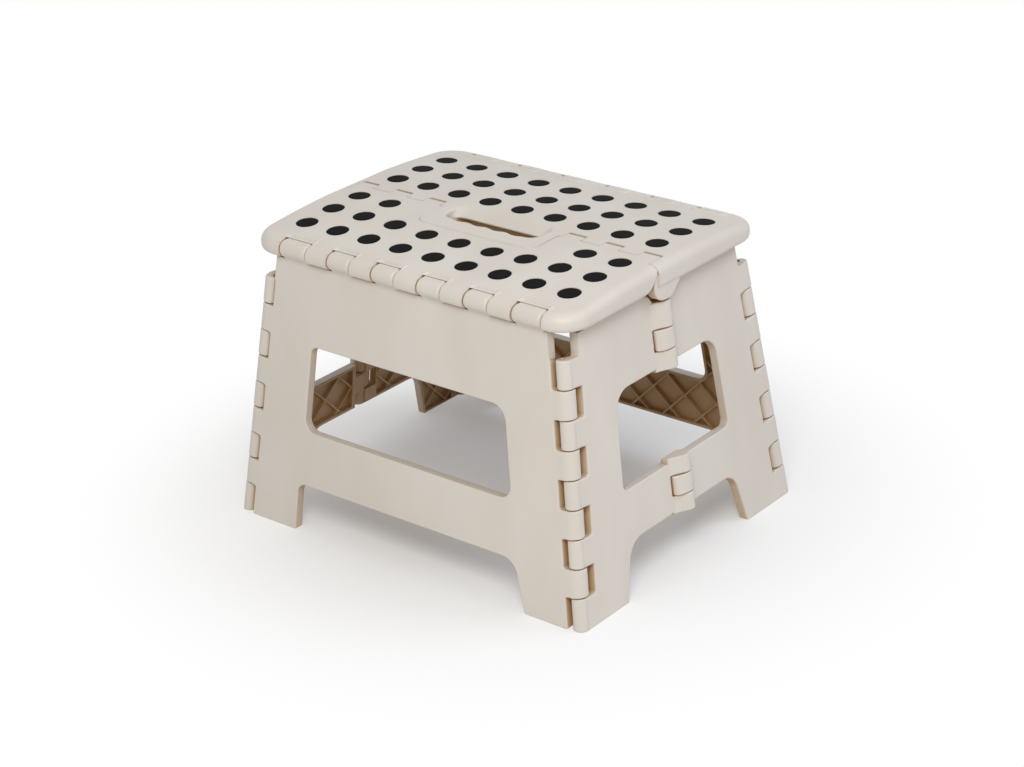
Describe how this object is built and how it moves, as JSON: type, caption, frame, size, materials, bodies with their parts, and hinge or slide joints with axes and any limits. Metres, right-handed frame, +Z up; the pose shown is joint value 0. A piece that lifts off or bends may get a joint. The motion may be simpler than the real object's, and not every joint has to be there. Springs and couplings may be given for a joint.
{
  "type": "folding step stool",
  "caption": "Low folding step stool of moulded plastic with a hinged non-slip top, a hand slot, splayed leg panels and end panels that fold inward.",
  "frame": {"origin": "centre of the footprint, at the floor", "axes": "+X along the long side of the top, +Y to the rear, +Z up; the hand slot's handle belongs to the rear plate"},
  "size_m": [0.3078, 0.2446, 0.2121],
  "materials": {
    "body_plastic": "warm beige injection-moulded polypropylene, fine matt texture",
    "grip_rubber": "black moulded thermoplastic rubber, matt",
    "rod_steel": "plain drawn steel rod"
  },
  "bodies": {
    "front_leg": {"front_leg_panel": "body_plastic", "front_hinge_rod": "rod_steel", "front_left_corner_rod": "rod_steel", "front_right_corner_rod": "rod_steel"},
    "front_plate": {"top_front_plate": "body_plastic", "left_centre_rod": "rod_steel", "right_centre_rod": "rod_steel", "front_grip_row_1_left": "grip_rubber", "front_grip_row_1_right": "grip_rubber", "front_grip_row_2": "grip_rubber", "front_grip_row_3": "grip_rubber"},
    "rear_plate": {"top_rear_plate": "body_plastic", "rear_grip_row_1": "grip_rubber", "rear_grip_row_2": "grip_rubber", "rear_grip_row_3": "grip_rubber"},
    "rear_leg": {"rear_leg_panel": "body_plastic", "rear_hinge_rod": "rod_steel", "rear_left_corner_rod": "rod_steel", "rear_right_corner_rod": "rod_steel"},
    "right_front_end": {"right_front_end_half": "body_plastic"},
    "left_front_end": {"left_front_end_half": "body_plastic", "left_upper_fold_pin": "rod_steel", "left_lower_fold_pin": "rod_steel"},
    "right_rear_end": {"right_rear_end_half": "body_plastic", "right_upper_fold_pin": "rod_steel", "right_lower_fold_pin": "rod_steel"},
    "left_rear_end": {"left_rear_end_half": "body_plastic"}
  },
  "joints": [
    {"name": "front_plate_hinge", "type": "hinge", "parent": "front_leg", "child": "front_plate", "pos_m": [0, -0.1005, 0.20094], "axis": [1, 0, 0], "range_deg": [0, 80.35]},
    {"name": "centre_hinge", "type": "hinge", "parent": "front_plate", "child": "rear_plate", "pos_m": [0, 0, 0.18984], "axis": [-1, 0, 0], "range_deg": [0, 172]},
    {"name": "rear_plate_hinge", "type": "hinge", "parent": "rear_plate", "child": "rear_leg", "pos_m": [0, 0.1005, 0.20094], "axis": [1, 0, 0], "range_deg": [0, 80.35]},
    {"name": "right_front_corner_hinge", "type": "hinge", "parent": "front_leg", "child": "right_front_end", "pos_m": [0.11954, -0.09346, 0.20094], "axis": [-0.1262, 0.1071, 0.9862], "range_deg": [0, 88.35]},
    {"name": "left_front_corner_hinge", "type": "hinge", "parent": "front_leg", "child": "left_front_end", "pos_m": [-0.11954, -0.09346, 0.20094], "axis": [-0.1262, -0.1071, -0.9862], "range_deg": [0, 88.35]},
    {"name": "right_rear_corner_hinge", "type": "hinge", "parent": "rear_leg", "child": "right_rear_end", "pos_m": [0.11954, 0.09346, 0.20094], "axis": [0.1262, 0.1071, -0.9862], "range_deg": [0, 88.35]},
    {"name": "left_rear_corner_hinge", "type": "hinge", "parent": "rear_leg", "child": "left_rear_end", "pos_m": [-0.11954, 0.09346, 0.20094], "axis": [0.1262, -0.1071, 0.9862], "range_deg": [0, 88.35]}
  ],
  "couplings": [
    {"joint": "front_plate_hinge", "follows": "centre_hinge", "ratio": 0.46705},
    {"joint": "rear_plate_hinge", "follows": "centre_hinge", "ratio": 0.46705},
    {"joint": "right_front_corner_hinge", "follows": "centre_hinge", "ratio": 0.5136},
    {"joint": "left_front_corner_hinge", "follows": "centre_hinge", "ratio": 0.5136},
    {"joint": "right_rear_corner_hinge", "follows": "centre_hinge", "ratio": 0.5136},
    {"joint": "left_rear_corner_hinge", "follows": "centre_hinge", "ratio": 0.5136}
  ]
}
